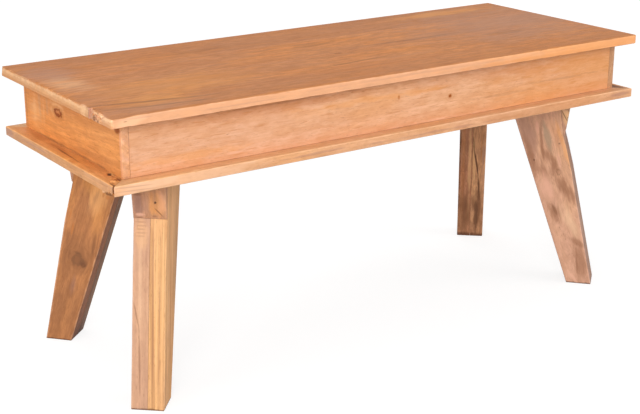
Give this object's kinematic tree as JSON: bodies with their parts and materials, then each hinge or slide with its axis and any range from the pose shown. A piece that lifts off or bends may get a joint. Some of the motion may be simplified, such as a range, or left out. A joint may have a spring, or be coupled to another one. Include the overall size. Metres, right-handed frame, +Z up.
{
  "type": "dining bench",
  "caption": "Low wooden dining bench: a board seat on a shallow box with a projecting ledge frame, on splayed plank legs that widen upward.",
  "frame": {"origin": "on the floor, under the middle of the seat", "axes": "+X along the bench to its right end, +Y from its front to its back, +Z up"},
  "size_m": [0.995, 0.385, 0.45],
  "materials": {
    "top_wood": "orange-brown hardwood, oiled, satin",
    "box_wood": "light orange-brown hardwood, oiled, satin",
    "ledge_wood": "yellowish orange-brown hardwood, oiled, satin",
    "leg_wood": "tan hardwood with brown streaks, oiled, satin",
    "wedge_wood": "pinkish-brown hardwood, oiled, satin",
    "inner_wood": "planed hardwood without oil, matt",
    "screw_steel": "zinc-plated",
    "pin_steel": "dark, dull"
  },
  "bodies": {
    "root": {"top_board_1": "top_wood", "top_board_2": "top_wood", "top_board_3": "top_wood", "top_board_4": "top_wood", "box_side_front": "box_wood", "box_side_back": "box_wood", "box_end_left": "box_wood", "box_end_right": "box_wood", "ledge_front": "ledge_wood", "ledge_back": "ledge_wood", "ledge_left": "ledge_wood", "ledge_right": "ledge_wood", "leg_front_left_side_board": "leg_wood", "leg_front_left_end_board": "leg_wood", "leg_front_right_side_board": "leg_wood", "leg_front_right_end_board": "leg_wood", "leg_back_left_side_board": "leg_wood", "leg_back_left_end_board": "leg_wood", "leg_back_right_side_board": "leg_wood", "leg_back_right_end_board": "leg_wood", "wedge_front_left": "wedge_wood", "wedge_front_right": "wedge_wood", "wedge_back_left": "wedge_wood", "wedge_back_right": "wedge_wood", "wedge_pin_front_left": "pin_steel", "wedge_pin_front_right": "pin_steel", "wedge_pin_back_left": "pin_steel", "wedge_pin_back_right": "pin_steel", "corner_block_front_left": "inner_wood", "corner_block_front_right": "inner_wood", "corner_block_back_left": "inner_wood", "corner_block_back_right": "inner_wood", "cross_rail": "inner_wood", "leg_screw_front_left_side": "screw_steel", "leg_screw_front_left_end": "screw_steel", "leg_screw_front_right_side": "screw_steel", "leg_screw_front_right_end": "screw_steel", "leg_screw_back_left_side": "screw_steel", "leg_screw_back_left_end": "screw_steel", "leg_screw_back_right_side": "screw_steel", "leg_screw_back_right_end": "screw_steel", "leg_washer_front_left_side": "screw_steel", "leg_washer_front_left_end": "screw_steel", "leg_washer_front_right_side": "screw_steel", "leg_washer_front_right_end": "screw_steel", "leg_washer_back_left_side": "screw_steel", "leg_washer_back_left_end": "screw_steel", "leg_washer_back_right_side": "screw_steel", "leg_washer_back_right_end": "screw_steel", "block_screw_front_left_side": "screw_steel", "block_screw_front_left_end": "screw_steel", "block_screw_front_right_side": "screw_steel", "block_screw_front_right_end": "screw_steel", "block_screw_back_left_side": "screw_steel", "block_screw_back_left_end": "screw_steel", "block_screw_back_right_side": "screw_steel", "block_screw_back_right_end": "screw_steel", "rail_screw_front": "screw_steel", "rail_screw_back": "screw_steel"}
  },
  "joints": []
}
